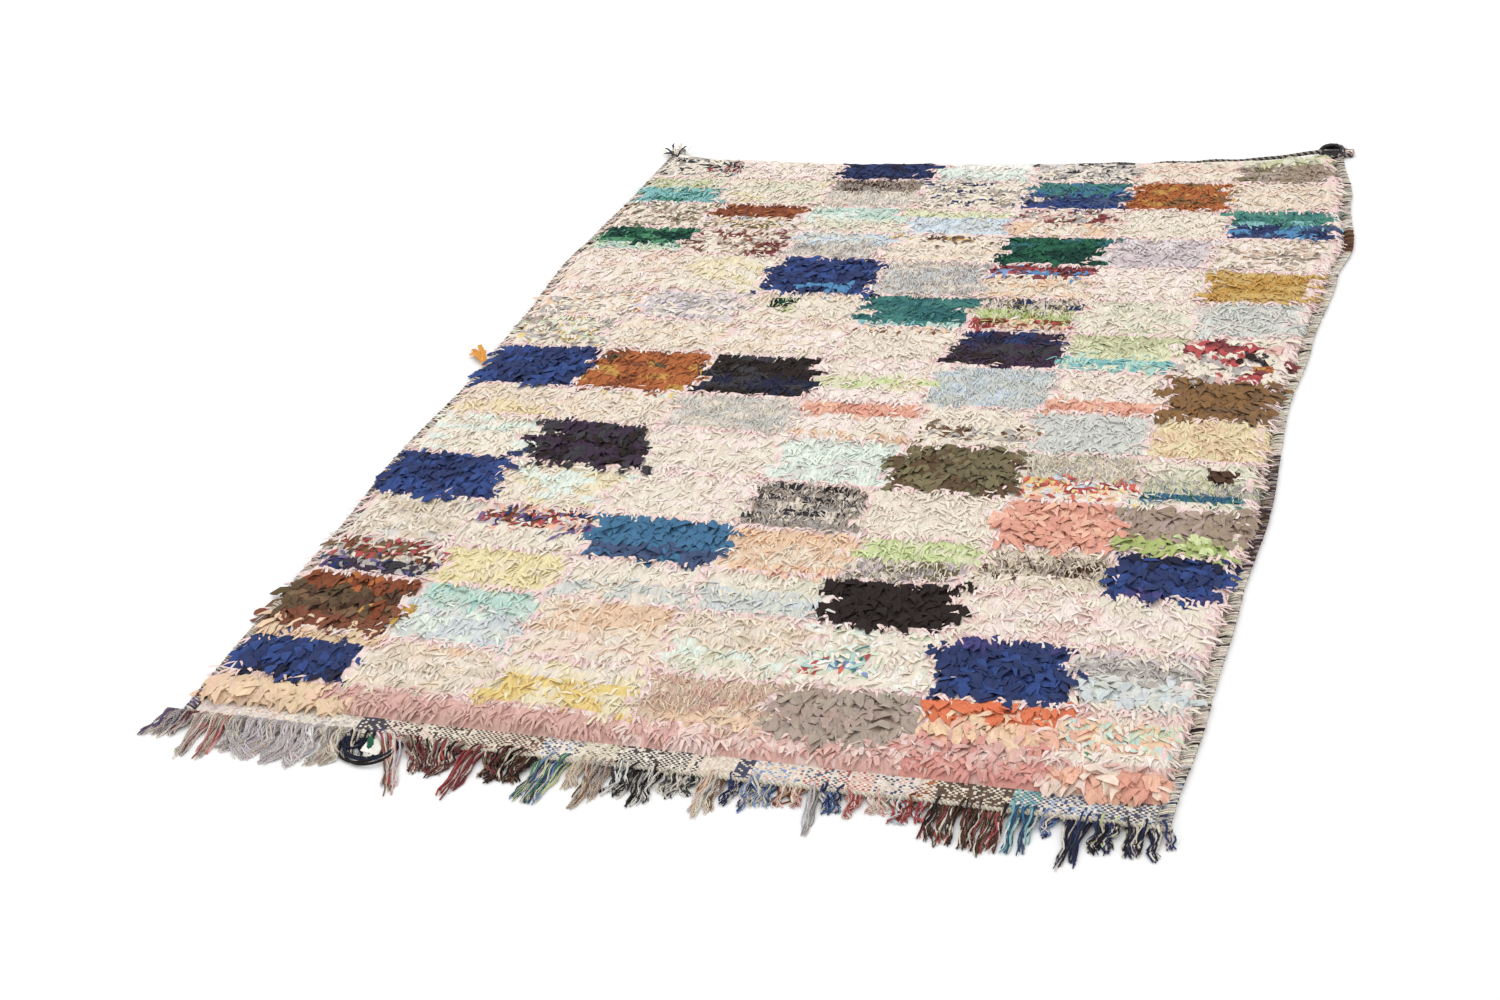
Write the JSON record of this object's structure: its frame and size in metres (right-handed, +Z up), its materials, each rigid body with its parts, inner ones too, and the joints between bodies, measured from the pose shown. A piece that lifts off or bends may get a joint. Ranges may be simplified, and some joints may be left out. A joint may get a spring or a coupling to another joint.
{
  "type": "boucherouite rug",
  "caption": "Flat hand-knotted rag rug in rectangular blocks of colour, with a flat-woven band and loose fringe at one end, overcast sides and a corded far end.",
  "frame": {"origin": "middle of the underside, on the floor", "axes": "+Z up, +X across the rug to the right, +Y along the rug to the corded far end, -Y to the fringed near end"},
  "size_m": [1.6774, 2.4186, 0.025],
  "materials": {
    "rag_pile": "matt cotton rag strips and rag yarn in blocks of many colours",
    "edge_binding": "matt overcast yarn in cream, black and brown",
    "end_cord": "matt twined yarn, dark with cream",
    "fringe": "matt loose and twined yarn in many colours under a cream twined cord",
    "orange_rag": "matt cotton jersey strip"
  },
  "bodies": {
    "root": {"knotted_rug": "rag_pile", "left_selvedge": "edge_binding", "right_selvedge": "edge_binding", "far_cord": "end_cord", "near_fringe": "fringe", "loose_strip": "orange_rag"}
  },
  "joints": []
}
